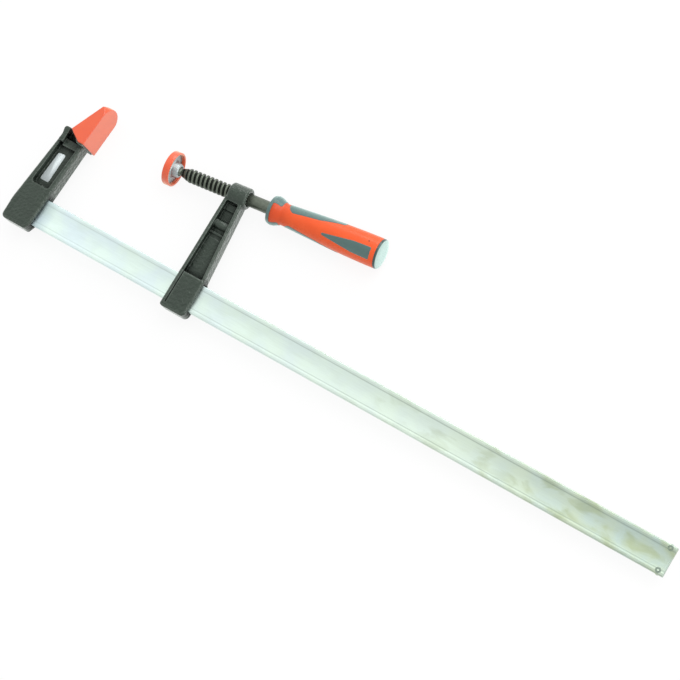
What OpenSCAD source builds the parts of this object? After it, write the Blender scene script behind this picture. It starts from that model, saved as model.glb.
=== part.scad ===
// Screw clamp with a sliding arm, a grooved steel rail and a two-component handle.
//
// The clamp lies flat: X runs along the rail from the fixed jaw to the free end,
// Y runs from the rail towards the jaw tips, Z is square to the plane of the clamp.
// The origin is the middle of the fixed jaw's pressure face.

/* [Rail] */
// Width of the rail, edge to edge
rail_w = 25; // [22:1:30]
// Thickness of the rail
rail_t = 6; // [5:0.5:7]
// Free length of the rail in front of the fixed jaw
rail_free = 606.4; // [400:0.1:900]
// Width of the rolled groove in each broad side
groove_w = 17; // [12:0.5:18]
// Depth of the groove's hollow at its middle
groove_depth = 0.55; // [0.3:0.05:0.9]
// Depth of the small step at each side of the groove
groove_step = 0.25; // [0.1:0.05:0.4]
// Radius on the rail's long edges
rail_edge_r = 0.8; // [0.4:0.1:1.2]

/* [Stop marks] */
// Outer diameter of the ring punched near the rail's free end
stop_ring_d = 4.6; // [3:0.2:5.4]
// Diameter of the land left inside the ring
stop_land_d = 1.9; // [1:0.1:2.4]
// Depth of the punched ring
stop_ring_depth = 0.6; // [0.3:0.1:1]
// Distance of the marks from the free end
stop_inset = 5; // [4:0.5:8]
// Distance of a mark's middle from the rail's long edge
stop_edge = 2.9; // [2.8:0.1:4]
// Height of the swelling that the punch raises on the rail's edge
stop_swell = 0.6; // [0.5:0.1:0.8]

/* [Reach] */
// Throat: from the rail's edge to the screw's axis at the arm
throat = 80.5; // [70:0.1:100]
// Opening between the two pressure faces as stored
opening = 71.6; // [60:0.2:90]
// Angle that the screw leans away from the rail towards the handle
lean = 5.3; // [3:0.2:6]
// Clearance between the sliding arm and the rail's edges
slide_gap = 0.3; // [0.2:0.05:0.5]
// Clearance between the sliding arm and the rail's broad sides
slide_gap_t = 0.25; // [0.15:0.05:0.5]

/* [Fixed jaw] */
// Depth of the fixed jaw along the rail, at the rail
jaw_depth = 27.8; // [25:0.2:32]
// Depth of the fixed jaw just under its head
jaw_neck_depth = 23.8; // [20:0.2:26]
// Thickness of the fixed jaw
jaw_t = 14.4; // [13:0.2:17]
// Forward lean of the jaw's front, from the rail to the head
jaw_toe = 4.2; // [2:0.1:5]
// Outward bulge of the curved back
jaw_bulge = 2.4; // [0:0.1:3]
// How far the bridge below the rail stands back from the jaw's front
jaw_setback = 2.4; // [1:0.2:3.4]
// Metal below the rail
jaw_sole = 6.3; // [5:0.1:8]
// Width of the front rims that frame the hollow sides
jaw_rim = 3.2; // [2.4:0.1:4]
// Width of the back rims at the rail
jaw_back_rim = 7.2; // [5:0.1:9]
// Width of the back rims just under the head
jaw_neck_rim = 3; // [2.4:0.1:4]
// Thickness of the web between the hollow sides
jaw_web = 6; // [4:0.5:8]
// Height of the flat cheek above the rail
jaw_cheek = 7; // [5:0.5:10]
// Depth of the knob that ends the back rim, along the rail
knob_depth = 5; // [4:0.5:7]
// Thickness of the knob
knob_t = 19.6; // [15:0.2:21]
// Thickness of the bar across the hollow, under the head
jaw_block_t = 12.4; // [10:0.2:13]
// Height of the bar across the hollow
jaw_block_h = 7; // [5:0.5:8]

/* [Jaw head and cap] */
// Width of the cap, square to the plane of the clamp
cap_w = 29.2; // [26:0.2:32]
// Height of the cap's pressure face
cap_h = 40.2; // [36:0.2:44]
// Height of the rounded end of the cap's pressure face
cap_crown = 12.5; // [8:0.5:14]
// Fall of the cap's back edge from its middle to its sides, at the tip
cap_shoulder = 3.6; // [1:0.2:5]
// Depth of the cap at its foot
cap_foot = 17.6; // [15:0.2:19]
// Depth of the cap at its tip
cap_tip = 4.0; // [3.4:0.1:4.4]
// Wall of the cap
cap_wall = 1.7; // [1.4:0.1:2]
// Clearance between the head and the inside of the cap
cap_gap = 0.1; // [0.05:0.05:0.3]
// Lean of the pressure face towards the work
cap_toe = 4; // [2:0.5:5]
// Height of the cap's back foot above its front foot
cap_back_rise = 7.6; // [6:0.2:9]
// Depth of the straight ledge under the cap's front
cap_ledge = 5.6; // [4:0.2:7]
// Run of the slanted notch in the cap's side, along the rail
cap_notch = 3.4; // [2:0.2:4.4]
// Fall of the slanted notch in the cap's side
cap_notch_drop = 2.6; // [1.6:0.2:3.4]
// Distance from the jaw's front to the foot of the pressure face
cap_proud = 2.7; // [2:0.1:5]

/* [Sliding arm] */
// Depth of the arm along the rail, at the rail
arm_depth = 24.8; // [22:0.2:28]
// Depth of the arm under its boss
arm_neck_depth = 16.6; // [15:0.2:19]
// Thickness of the arm's flanges
arm_t = 12.4; // [11:0.2:13]
// Thickness of the slotted shoe that runs on the rail
shoe_t = 13.4; // [12.8:0.2:15]
// Metal below the rail
shoe_sole = 6.0; // [4.6:0.1:8]
// Height of the shoe above the rail's edge
shoe_top = 2.8; // [2:0.2:5]
// How far the shoe's back stands out behind the flange
shoe_heel = 0.6; // [0.4:0.1:2.4]
// Width of the front flange
front_rim = 3.2; // [2.4:0.1:4]
// Width of the back flange
back_rim = 2.3; // [2:0.1:3.4]
// Thickness of the long web
arm_web = 4.4; // [3.6:0.2:6]
// Thickness of the web in the pockets by the cross rib
pocket_web = 3; // [2.4:0.2:3.4]
// Thickness over the cross rib
rib_t = 9; // [7:0.2:10]
// Height of the cross rib
rib_h = 12.4; // [9:0.2:15]
// Foot of the cross rib above the rail's edge
rib_from = 45.2; // [36:0.2:50]
// Height of the pocket below the cross rib
pocket_h = 5.7; // [4:0.1:9]
// From the arm's front to the middle of its boss
arm_to_boss = 9.4; // [8:0.2:12]
// Diameter of the boss that the screw runs through
boss_d = 18.6; // [17:0.2:22]
// Length of the boss
boss_len = 17.6; // [16:0.2:22]
// Chamfer round the boss's ends
boss_edge = 1; // [0.4:0.2:1.6]

/* [Screw] */
// Outer diameter of the screw
screw_d = 12; // [11:0.5:13]
// Lead of the thread: travel for one turn
lead = 4; // [3:0.5:5]
// Threaded length in front of the boss as stored
thread_out = 39.2; // [32:0.2:44]
// Length of the tapered tip
tip_len = 8; // [6:0.5:10]
// Diameter at the end of the tip
tip_d = 6.6; // [6:0.2:8]
// Diameter of the plain shank behind the thread
shank_d = 10.8; // [10:0.2:11]
// Running clearance of the screw in the boss, on the radius
screw_gap = 0.05; // [0.02:0.01:0.1]

/* [Ball and pad] */
// Diameter of the ball at the screw's end
ball_d = 9; // [8:0.2:10]
// Diameter of the neck behind the ball
neck_d = 5.6; // [5:0.2:6]
// Bare neck between the pad's socket and the screw's tip
neck_len = 2; // [1.6:0.1:4]
// How far the collar's lip reaches behind the ball's middle
lip_back = 2.9; // [2.4:0.1:3.4]
// Metal between the ball and the pressure plate's front
socket_floor = 0.9; // [0.6:0.1:1.5]
// Running clearance between ball and socket, on the radius
ball_gap = 0.06; // [0.03:0.01:0.1]
// Diameter of the pad over its cap
pad_d = 29.8; // [28:0.2:34]
// Height of the cap's rim
pad_rim = 6.2; // [5.6:0.2:7]
// Wall of the pad's cap
pad_wall = 1.6; // [1.2:0.1:2]
// Thickness of the steel pressure plate
plate_t = 1.8; // [1.4:0.1:2.4]
// Diameter of the plate's collar at its root
collar_root_d = 14; // [13:0.2:16]
// Diameter of the plate's collar at its crimped lip
collar_lip_d = 11.6; // [11:0.2:12]

/* [Handle] */
// Length of the handle
handle_len = 103.5; // [90:0.5:120]
// Bare shank between the boss and the handle
shank_out = 21.7; // [18:0.5:26]
// Diameter over the front collar
handle_front_d = 24.8; // [23:0.2:27]
// Diameter of the waist behind the collar
handle_waist_d = 18.6; // [17:0.2:20]
// Largest diameter of the handle
handle_max_d = 25.8; // [24:0.2:28]
// Diameter at the rear end
handle_end_d = 25; // [23:0.2:27]
// Height that the soft grip stands above the hard core
soft_proud = 0.25; // [0.1:0.05:0.4]
// Thickness of the soft grip
soft_t = 1.8; // [1.4:0.1:2.2]
// Depth that the shank is moulded into the handle
shank_in = 66; // [40:1:80]
// Thickness of the rear cap at its middle
end_cap_t = 2.9; // [2.6:0.1:5]
// Rise of the rear cap's domed end
end_dome = 2; // [0.5:0.1:2.4]

/* [Soft grip] */
// Thickness of the soft collar's ring
collar_t = 3.2; // [2.6:0.2:5]
// How far the collar's lobes reach back from the handle's front
lobe_reach = 10.6; // [9:0.2:13]
// Half the width of a lobe at the collar's ring
lobe_root = 10.8; // [9:0.2:11.4]
// Half the width of a lobe at its end
lobe_half = 7.2; // [5:0.2:8]
// Start of the front inlays, from the handle's front
front_from = 15.5; // [14:0.5:20]
// Place where the front inlays begin to taper
front_full = 46; // [30:0.5:52]
// End of the front inlays
front_to = 67; // [58:0.5:74]
// Half the width of a front inlay at its broad end
front_half = 8.2; // [5:0.2:8.6]
// Half the width of a front inlay at its tip
front_tip = 3; // [1:0.2:4]
// Band of bare core between the rear inlays and the rear cap
rear_band = 4.1; // [2:0.1:8]
// Length of the rear inlays
rear_len = 45; // [38:0.5:52]
// Length of their broad part
rear_broad = 16.5; // [10:0.5:24]
// Half the width of a rear inlay at its broad end
rear_half = 5.4; // [4:0.2:7]
// Half the width of a rear inlay at its tip
rear_tip = 0.9; // [0.6:0.1:2]

/* [Hidden] */

$fn = 64;
eps = 0.01;
over = 1;                                  // how far a cutter runs past the metal
half_w = rail_w / 2;
groove_full = groove_depth + groove_step;
groove_r = (groove_w * groove_w / 4 + groove_depth * groove_depth) / (2 * groove_depth);

iron = "#353a38";
zinc = "#d6e4de";
steel = "#4a4b46";
red = "#e4603f";
orange = "#e2602f";
teal = "#6a8a8c";

// ---- places along the rail, from the front of the fixed jaw at the rail ----
face_x = jaw_toe + cap_proud + tan(cap_toe) * cap_h / 2;
ball_to_face = pad_wall + socket_floor + ball_gap + ball_d / 2;
pad_reach = boss_len / 2 + thread_out + tip_len + neck_len + lip_back + ball_to_face;
boss_x = face_x + opening + pad_reach * cos(lean);
boss_y = half_w + throat;
face_y = boss_y - pad_reach * sin(lean);   // middle of the pressure face, level with the pad
cap_foot_y = face_y - cap_h / 2;           // foot of the pressure face above the rail's axis
arm_x = boss_x - arm_to_boss;              // front of the sliding arm

// Brings the rail's frame (rail axis, jaw front) to the clamp's origin
module on_rail() translate([-face_x, -face_y, 0]) children();
// Brings the screw's frame (boss middle, +X to the handle) to its place
module on_screw() on_rail() translate([boss_x, boss_y, 0]) rotate([0, 0, lean]) children();
// Stands a profile given as [radius, distance along the screw] round the screw's axis
module turned() on_screw() rotate([0, 90, 0]) rotate_extrude() children();

// ---- outlines ----
function unit(v) = v / norm(v);
// Points of a fillet of radius r at corner p between neighbours a and b
function fillet(a, p, b, r, n = 5) =
    let (u = unit(a - p), v = unit(b - p), half = acos(u * v) / 2,
         run = r / tan(half), mid = unit(u + v), c = p + mid * r / sin(half),
         p0 = p + u * run, p1 = p + v * run)
    [for (i = [0:n]) c + r * unit((p0 - c) * (1 - i / n) + (p1 - c) * i / n)];
// A closed outline with each corner [x, y, r] rounded by its own radius
function rounded(k) = [for (i = [0:len(k) - 1])
    let (a = k[(i + len(k) - 1) % len(k)], p = k[i], b = k[(i + 1) % len(k)])
    each p[2] > 0 ? fillet([a[0], a[1]], [p[0], p[1]], [b[0], b[1]], p[2]) : [[p[0], p[1]]]];
// Points along a shallow arc from a to b that bulges to the left of its run
function bow(a, b, bulge, n = 8) =
    let (d = b - a, left = [-d[1], d[0]] / norm(d))
    [for (i = [0:n]) a + d * i / n + left * bulge * 4 * (i / n) * (1 - i / n)];

// A slab whose broad faces have a bevel: outline wide at the middle, narrow at the faces
module bevel_slab(wide, narrow, t, bevel) hull() {
    linear_extrude(t - 2 * bevel, center = true) polygon(wide);
    linear_extrude(t, center = true) polygon(narrow);
}

// A hollow in both broad sides, with drafted walls, down to a web of thickness web
module side_hollows(mouth, floor_line, t, web) for (side = [0, 1]) mirror([0, 0, side])
    hull() {
        translate([0, 0, web / 2]) linear_extrude(eps) polygon(floor_line);
        translate([0, 0, t / 2]) linear_extrude(over) polygon(mouth);
    }

// ---- rail ----
rail_back_in = 1.2;                        // the rail's end lies this far inside the jaw's back
rail_back = jaw_depth - rail_back_in;      // length of the rail inside the fixed jaw

module rail_section() difference() {
    union() {
        square([rail_w - 2 * rail_edge_r, rail_t], center = true);
        square([rail_w, rail_t - 2 * rail_edge_r], center = true);
        for (x = [-1, 1], y = [-1, 1])
            translate([x * (half_w - rail_edge_r), y * (rail_t / 2 - rail_edge_r)])
                circle(rail_edge_r, $fn = 24);
    }
    for (side = [-1, 1]) {
        translate([0, side * (rail_t / 2 + over / 2 - groove_step)])
            square([groove_w, over + eps], center = true);
        translate([0, side * (rail_t / 2 - groove_full + groove_r)]) circle(groove_r, $fn = 180);
    }
}

module stop_mark(side) translate([rail_free - stop_inset, side * (half_w - stop_edge), 0])
    for (face = [0, 1]) mirror([0, 0, face]) translate([0, 0, rail_t / 2 - stop_ring_depth])
        difference() {
            cylinder(d = stop_ring_d, h = over + stop_ring_depth);
            translate([0, 0, -eps]) cylinder(d = stop_land_d, h = 2 * over + stop_ring_depth);
        }

module rail() color(zinc) on_rail() difference() {
    union() {
        translate([-rail_back, 0, 0]) rotate([90, 0, 90])
            linear_extrude(rail_free + rail_back) rail_section();
        // the punch swells the rail's edges, so the arm can't run off
        for (side = [-1, 1])
            translate([rail_free - stop_inset, side * (half_w + stop_swell - stop_ring_d / 2), 0])
                cylinder(d = stop_ring_d, h = rail_t - 2 * rail_edge_r, center = true);
    }
    for (side = [-1, 1]) stop_mark(side);
}

// ---- fixed jaw ----
jaw_top = cap_foot_y + 1;                  // where the arm of the jaw meets its head
jaw_bottom = -half_w - jaw_sole;
function jaw_front(y) = jaw_toe * max(0, y - half_w) / (jaw_top - half_w);
bridge_front = -jaw_setback;               // front of the bridge below the rail
function jaw_side(inset) = concat(
    bow([jaw_nape + inset, jaw_top], [-jaw_depth + inset, 0], jaw_bulge),
    fillet([-jaw_depth + inset, 0], [-jaw_depth + inset, jaw_bottom + inset],
        [bridge_front - inset, jaw_bottom + inset], jaw_corner_r),
    fillet([-jaw_depth + inset, jaw_bottom + inset], [bridge_front - inset, jaw_bottom + inset],
        [bridge_front - inset, -half_w], bridge_corner_r),
    [[bridge_front - inset, -half_w - over], [-inset, -half_w + over], [-inset, half_w],
        [jaw_front(jaw_top) - inset, jaw_top]]);
jaw_corner_r = 4;
bridge_corner_r = 2;
jaw_nape = jaw_toe - jaw_neck_depth;       // back of the jaw's arm at its top
jaw_bevel = 1.2;
block_in = 1.6;                            // the bar stands in from the jaw's front
block_clear = 2.6;                         // and clear of the back rim
block_back = jaw_nape + jaw_neck_rim + block_clear;
block_gap = 1.6;                           // pocket left between the bar and the cap
block_foot = jaw_top - jaw_block_h - block_gap;
hollow_draft = 1.4;                        // the hollow's walls lean in by this much
hollow_foot = half_w + jaw_cheek;
hollow_top = jaw_top + over;               // the hollow runs out under the cap
function jaw_hollow(inset) = rounded([
    [jaw_front(hollow_foot) - jaw_rim - inset, hollow_foot + inset, 2],
    [jaw_front(hollow_top) - jaw_rim - inset, hollow_top, 0],
    [jaw_nape + jaw_neck_rim + inset, hollow_top, 0],
    [-jaw_depth + jaw_back_rim + inset, hollow_foot + inset, 3]]);

// ---- head of the fixed jaw, under the cap ----
cap_back_y = cap_foot_y + cap_back_rise;   // foot of the cap's back
cap_top_y = cap_foot_y + cap_h;
press_x = jaw_toe + cap_proud;             // foot of the pressure face
// Depth of the cap at height y, and the places of its face and back there
function cap_depth(y) = cap_foot + (cap_tip - cap_foot) * (y - cap_back_y) / (cap_top_y - cap_back_y);
function cap_face(y) = press_x + tan(cap_toe) * (y - cap_foot_y);
function cap_back(y) = cap_face(y) - cap_depth(y);
wall_front = cap_wall / cos(cap_toe);      // the cap's wall measured along the rail
wall_back = cap_wall / cos(atan((cap_back(cap_top_y) - cap_back(cap_back_y)) / (cap_top_y - cap_back_y)));
// The head stops where it would be thinner than its own tip
head_tip = 1.6;
head_top_y = cap_back_y + (cap_top_y - cap_back_y)
    * (cap_foot - wall_front - wall_back - head_tip) / (cap_foot - cap_tip);

// Wedge seen from the side, from a line drop below the cap's mouth up to top
module wedge_side(front, back, top, drop) linear_extrude(cap_w, center = true)
    polygon([[cap_face(cap_foot_y - drop) - front, cap_foot_y - drop],
        [cap_face(top) - front, top], [cap_back(top) + back, top],
        [cap_back(cap_back_y - drop) + back, cap_back_y - drop],
        [cap_back(cap_back_y) + back + cap_notch, cap_back_y - cap_notch_drop - drop],
        [cap_face(cap_foot_y) - front - cap_ledge, cap_foot_y - drop]]);

// Stands an outline given as [height, place across] between two places along the rail
module along_rail(x0, x1) translate([x0, 0, 0]) rotate([90, 0, 90]) linear_extrude(x1 - x0) children();
// Wedge seen from the front: straight sides, and an end that falls to them as an ellipse or,
// with its corners kept, as a parabola
function wedge_end(half, top, fall, corners = false) = concat(
    [[cap_foot_y - cap_h, half], [cap_foot_y - cap_h, -half]],
    [for (a = [-90:15:90]) [top - fall * (corners ? pow(sin(a), 2) : 1 - cos(a)), half * sin(a)]]);
module wedge_front(half, top) along_rail(-jaw_depth, jaw_depth) polygon(wedge_end(half, top, cap_crown));

module jaw_head() intersection() {
    wedge_front(cap_w / 2 - cap_wall - cap_gap, head_top_y - cap_gap);
    wedge_side(wall_front + cap_gap, wall_back + cap_gap, head_top_y - cap_gap, head_root);
}
head_root = 1;                             // how far the head runs on below the cap's mouth
mouth_gap = 0.3;                           // gap between the cap's mouth and the jaw's arm

knob_in = 1.2;                             // the knob's root stands in from the back rim
knob_drop = 6;                             // and starts this far below the head
knob_rise = 1;                             // its top stands this far above the cap's back foot
knob_waist = 1.8;                          // it narrows by this much where it leaves the jaw
knob_r = 2.4;
// The back rim runs on behind the cap and ends in a knob
module jaw_knob() linear_extrude(knob_t, center = true) polygon(rounded([
    [jaw_nape + knob_in, jaw_top - knob_drop, 0], [jaw_nape + knob_in + knob_depth, jaw_top - knob_drop, 0],
    [jaw_nape + knob_in + knob_depth, cap_back_y + knob_rise, 0],
    [jaw_nape, cap_back_y + knob_rise, knob_r], [jaw_nape + knob_waist, jaw_top, knob_r]]));

module fixed_jaw() color(iron) on_rail() difference() {
    union() {
        difference() {
            union() {
                difference() {
                    bevel_slab(jaw_side(0), jaw_side(jaw_bevel), jaw_t, jaw_bevel);
                    side_hollows(jaw_hollow(0), jaw_hollow(hollow_draft), jaw_t, jaw_web);
                }
                // bar across the hollow below the head
                translate([block_back, block_foot, -jaw_block_t / 2])
                    cube([jaw_toe - block_in - block_back, jaw_block_h, jaw_block_t]);
                jaw_knob();
            }
            // room for the cap
            wedge_side(0, 0, cap_top_y, mouth_gap);
        }
        jaw_head();
    }
    // slot for the rail, right through
    translate([-jaw_depth / 2, 0, 0]) cube([2 * jaw_depth, rail_w, rail_t], center = true);
}

// ---- jaw cap ----
// The cap from the front: nearly square at its back edge, rounded at its pressure face
module cap_front() {
    tip_back = cap_back(cap_top_y);
    tip_face = cap_face(cap_top_y);
    along_rail(-jaw_depth, tip_back) polygon(wedge_end(cap_w / 2, cap_top_y, cap_shoulder, true));
    hull() {
        along_rail(tip_back - eps, tip_back)
            polygon(wedge_end(cap_w / 2, cap_top_y, cap_shoulder, true));
        along_rail(tip_face, tip_face + eps) polygon(wedge_end(cap_w / 2, cap_top_y, cap_crown));
    }
}

module jaw_cap() color(red) on_rail() difference() {
    intersection() {
        cap_front();
        wedge_side(0, 0, cap_top_y, 0);
    }
    intersection() {
        wedge_front(cap_w / 2 - cap_wall, head_top_y);
        wedge_side(wall_front, wall_back, head_top_y, over);
    }
}

// ---- sliding arm ----
arm_foot = half_w + shoe_top;              // top of the shoe, where the hollow sides begin
arm_head = boss_y - boss_d / 2 + 1;        // where the flanges run into the boss
shoe_bottom = -half_w - slide_gap - shoe_sole;
function arm_back(y) = arm_depth - shoe_heel
    - (arm_depth - shoe_heel - arm_neck_depth) * (y - half_w) / (arm_head - half_w);
function arm_side(inset) = [
    [inset, boss_y], [inset, 0], [arm_back(half_w) - inset, 0], [arm_back(half_w) - inset, half_w],
    [arm_back(arm_head) - inset, arm_head], [arm_back(arm_head) - inset, boss_y]];
shoe_toe_r = 1.2;                          // corners of the shoe, front and back
shoe_heel_r = 4.4;
shoe_step = 1;                             // chamfer where the heel meets the flange
function shoe_side(inset) = rounded([
    [inset, arm_foot, 0], [inset, shoe_bottom + inset, shoe_toe_r],
    [arm_depth - inset, shoe_bottom + inset, shoe_heel_r],
    [arm_depth - inset, arm_foot - shoe_step, 0],
    [arm_depth - shoe_step - inset, arm_foot, 0]]);
arm_bevel = 0.8;
shoe_bevel = 1;
rib_foot = half_w + rib_from;              // the cross rib's lower and upper sides
rib_top = rib_foot + rib_h;
floor_top = rib_foot - pocket_h;           // end of the long web, where the lower pocket begins
pocket_r = 1.2;                            // corners of the arm's hollows
arm_draft = 0.5;                           // their walls lean in by this much
function arm_hollow(y0, y1, inset) = rounded([
    [front_rim + inset, y0 + inset, pocket_r], [arm_back(y0) - back_rim - inset, y0 + inset, pocket_r],
    [arm_back(y1) - back_rim - inset, y1 - inset, pocket_r], [front_rim + inset, y1 - inset, pocket_r]]);

module arm_blank() {
    bevel_slab(arm_side(0), arm_side(arm_bevel), arm_t, arm_bevel);
    bevel_slab(shoe_side(0), shoe_side(shoe_bevel), shoe_t, shoe_bevel);
}

// A rounded rib across the hollow, from flange to flange
module cross_rib() intersection() {
    linear_extrude(arm_t - 2 * arm_bevel, center = true)
        polygon([[front_rim - over, rib_foot], [arm_back(rib_foot) - back_rim + over, rib_foot],
            [arm_back(rib_top) - back_rim + over, rib_top], [front_rim - over, rib_top]]);
    translate([arm_depth / 2, (rib_foot + rib_top) / 2, 0]) rotate([0, 90, 0])
        scale([rib_t / (rib_top - rib_foot), rib_t / (rib_top - rib_foot), 1])
            cylinder(d = rib_top - rib_foot, h = arm_depth, center = true);
}

module boss() translate([boss_x, boss_y, 0]) rotate([0, 90, lean]) {
    cylinder(d = boss_d, h = boss_len - 2 * boss_edge, center = true);
    for (end = [0, 1]) mirror([0, 0, end]) translate([0, 0, boss_len / 2 - boss_edge - eps])
        cylinder(d1 = boss_d, d2 = boss_d - 2 * boss_edge, h = boss_edge + eps);
}

module sliding_arm() color(iron) on_rail() difference() {
    union() {
        translate([arm_x, 0, 0]) difference() {
            arm_blank();
            side_hollows(arm_hollow(arm_foot, floor_top, 0),
                arm_hollow(arm_foot, floor_top, arm_draft), arm_t, arm_web);
            side_hollows(arm_hollow(floor_top - over, arm_head, 0),
                arm_hollow(floor_top - over, arm_head, arm_draft), arm_t, pocket_web);
        }
        translate([arm_x, 0, 0]) cross_rib();
        boss();
    }
    // slot for the rail
    translate([arm_x + arm_depth / 2, 0, 0])
        cube([3 * arm_depth, rail_w + 2 * slide_gap, rail_t + 2 * slide_gap_t], center = true);
    // threaded bore
    translate([boss_x, boss_y, 0]) rotate([0, 90, lean])
        cylinder(d = screw_d + 2 * screw_gap, h = 2 * boss_len, center = true);
}

// ---- screw ----
tip_s = -boss_len / 2 - thread_out - tip_len;          // end of the tapered tip
ball_s = tip_s - neck_len - lip_back;                  // middle of the ball
face_s = ball_s - ball_d / 2 - ball_gap - socket_floor - pad_wall;
handle_s = boss_len / 2 + shank_out;                   // front of the handle
thread_in = 2;                                         // the thread ends this far inside the boss
thread_back = boss_len / 2 - thread_in;
tip_edge = 0.6;                                        // rounding between the tip and the thread
shoulder = 1;                                          // cone between the thread and the shank

module ball_end() color(steel) turned() difference() {
    union() {
        translate([0, ball_s]) circle(d = ball_d);
        translate([0, ball_s]) square([neck_d / 2, tip_s - ball_s]);
    }
    translate([-2 * ball_d, ball_s - ball_d]) square([2 * ball_d, 3 * ball_d]);
}

module spindle() color(steel) turned() polygon([
    [0, tip_s], [tip_d / 2, tip_s], [screw_d / 2 - tip_edge, tip_s + tip_len],
    [screw_d / 2, tip_s + tip_len + tip_edge], [screw_d / 2, thread_back - shoulder],
    [shank_d / 2, thread_back], [shank_d / 2, handle_s + shank_in], [0, handle_s + shank_in]]);

// ---- pad ----
plate_front = face_s + pad_wall;
plate_d = pad_d - 2 * pad_wall;
lip_s = ball_s + lip_back;                             // end of the crimped collar
collar_edge = 1;                                       // fillet at the collar's root and lip
lip_edge = 0.8;                                        // the lip is turned in by this much
mouth_free = 1;                                        // room for the neck at the ball's middle
mouth_flare = 0.4;                                     // and how much wider the mouth gets
cap_edge = 1;                                          // chamfer round the pad's face
rim_t = 1.8;                                           // thickness of the cap's rim
rim_lap = 0.7;                                         // how far the rim laps over the plate

module pad_plate() color(zinc) turned() difference() {
    polygon([[0, plate_front], [plate_d / 2, plate_front], [plate_d / 2, plate_front + plate_t],
        [collar_root_d / 2 + collar_edge, plate_front + plate_t],
        [collar_root_d / 2, plate_front + plate_t + collar_edge],
        [collar_lip_d / 2, lip_s - collar_edge], [collar_lip_d / 2 - lip_edge, lip_s], [0, lip_s]]);
    translate([0, ball_s]) circle(d = ball_d + 2 * ball_gap);
    // mouth that lets the neck swing
    polygon([[0, ball_s], [neck_d / 2 + mouth_free, ball_s],
        [neck_d / 2 + mouth_free + mouth_flare, lip_s + over], [0, lip_s + over]]);
}

module pad_cap() color(red) turned() difference() {
    polygon([[0, face_s], [pad_d / 2 - cap_edge, face_s], [pad_d / 2, face_s + cap_edge],
        [pad_d / 2, face_s + pad_rim], [pad_d / 2 - rim_t, face_s + pad_rim], [0, face_s + pad_rim]]);
    translate([0, plate_front]) square([plate_d / 2, plate_t]);
    translate([0, plate_front + plate_t - eps]) square([plate_d / 2 - rim_lap, pad_rim]);
}

// ---- handle ----
tail_s = handle_s + handle_len;                        // rear end of the handle
cap_front = tail_s - end_cap_t;
// The handle's form: shares of its length where the collar, the waist and the swell lie, how
// much the collar's front edge is drawn in, and how sharply the waist and the swell curve
collar_at = 0.03;
waist_at = 0.12;
swell_at = 0.94;
front_in = 0.8;
waist_curve = 1.6;
swell_curve = 1.15;
// Radius of the handle at a share k of its length, from collar to end
function grip_r(k) =
    let (front = handle_front_d / 2, waist = handle_waist_d / 2,
         big = handle_max_d / 2, last = handle_end_d / 2)
    k < collar_at ? front - front_in * (1 - k / collar_at) :
    k < waist_at ? waist + (front - waist)
        * pow(cos(90 * (k - collar_at) / (waist_at - collar_at)), waist_curve) :
    k < swell_at ? waist + (big - waist)
        * pow(sin(90 * (k - waist_at) / (swell_at - waist_at)), swell_curve) :
    big + (last - big) * pow((k - swell_at) / (1 - swell_at), 2);
stations = 34;
grip_stations = [for (i = [0:stations]) i / stations];
nearest = 0.004;                           // no station closer than this share to an end
function grip_line(grow, k0, k1) = concat(
    [[grip_r(k0) + grow, handle_s + k0 * handle_len]],
    [for (k = grip_stations) if (k > k0 + nearest && k < k1 - nearest)
        [grip_r(k) + grow, handle_s + k * handle_len]],
    [[grip_r(k1) + grow, handle_s + k1 * handle_len]]);
module grip_solid(grow, k0, k1) polygon(concat([[0, handle_s + k0 * handle_len]],
    grip_line(grow, k0, k1), [[0, handle_s + k1 * handle_len]]));
module grip_skin(k0, k1) turned() difference() {
    grip_solid(soft_proud, k0, k1);
    grip_solid(soft_proud - soft_t, k0, k1);
}
// A prism that stands radially on the handle, turned to angle a about the screw
module radial(a) on_screw() rotate([a, 0, 0]) linear_extrude(handle_max_d) children();

collar_k = collar_t / handle_len;          // full ring at the front
end_k = 1 - end_cap_t / handle_len;

// Flat outlines of the soft parts: along the screw from the handle's front, and across it
broad_r = 6.5;                             // corners of a front inlay's broad end
swell_r = 20;                              // the gentle bend where an inlay begins to taper
tip_r = 2.2;                               // corners of a front inlay's tip and of a lobe
rear_r = 1.2;                              // corners of a rear inlay's broad end
taper = 1;                                 // loss of half width up to that bend
rear_to = handle_len - end_cap_t - rear_band;
rear_full = rear_to - rear_broad;
rear_from = rear_to - rear_len;
module on_handle() translate([handle_s, 0]) children();
module front_inlay_shape() on_handle() polygon(rounded([
    [front_from, -front_half, broad_r], [front_full, -front_half + taper, swell_r],
    [front_to, -front_tip, tip_r], [front_to, front_tip, tip_r],
    [front_full, front_half - taper, swell_r], [front_from, front_half, broad_r]]));
module rear_inlay_shape() on_handle() polygon(rounded([
    [rear_from, -rear_tip, rear_tip - eps], [rear_full, -rear_half + taper / 2, swell_r],
    [rear_to, -rear_half, rear_r], [rear_to, rear_half, rear_r],
    [rear_full, rear_half - taper / 2, swell_r], [rear_from, rear_tip, rear_tip - eps]]));
module lobe_shape() on_handle() polygon(rounded([
    [-over, -lobe_root, 0], [lobe_reach, -lobe_half, tip_r],
    [lobe_reach, lobe_half, tip_r], [-over, lobe_root, 0]]));

// Angle of the first front inlay about the screw, and of the lobes
front_turn = -64;
// A soft inlay, also the pocket that the core keeps for it: a piece of skin under an outline
module front_soft(i) intersection() {
    grip_skin((front_from - over) / handle_len, (front_to + over) / handle_len);
    radial(front_turn + 180 * i) front_inlay_shape();
}
module rear_soft(i) intersection() {
    grip_skin((rear_from - over) / handle_len, (rear_to + over) / handle_len);
    radial(front_turn + 90 + 180 * i) rear_inlay_shape();
}
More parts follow.
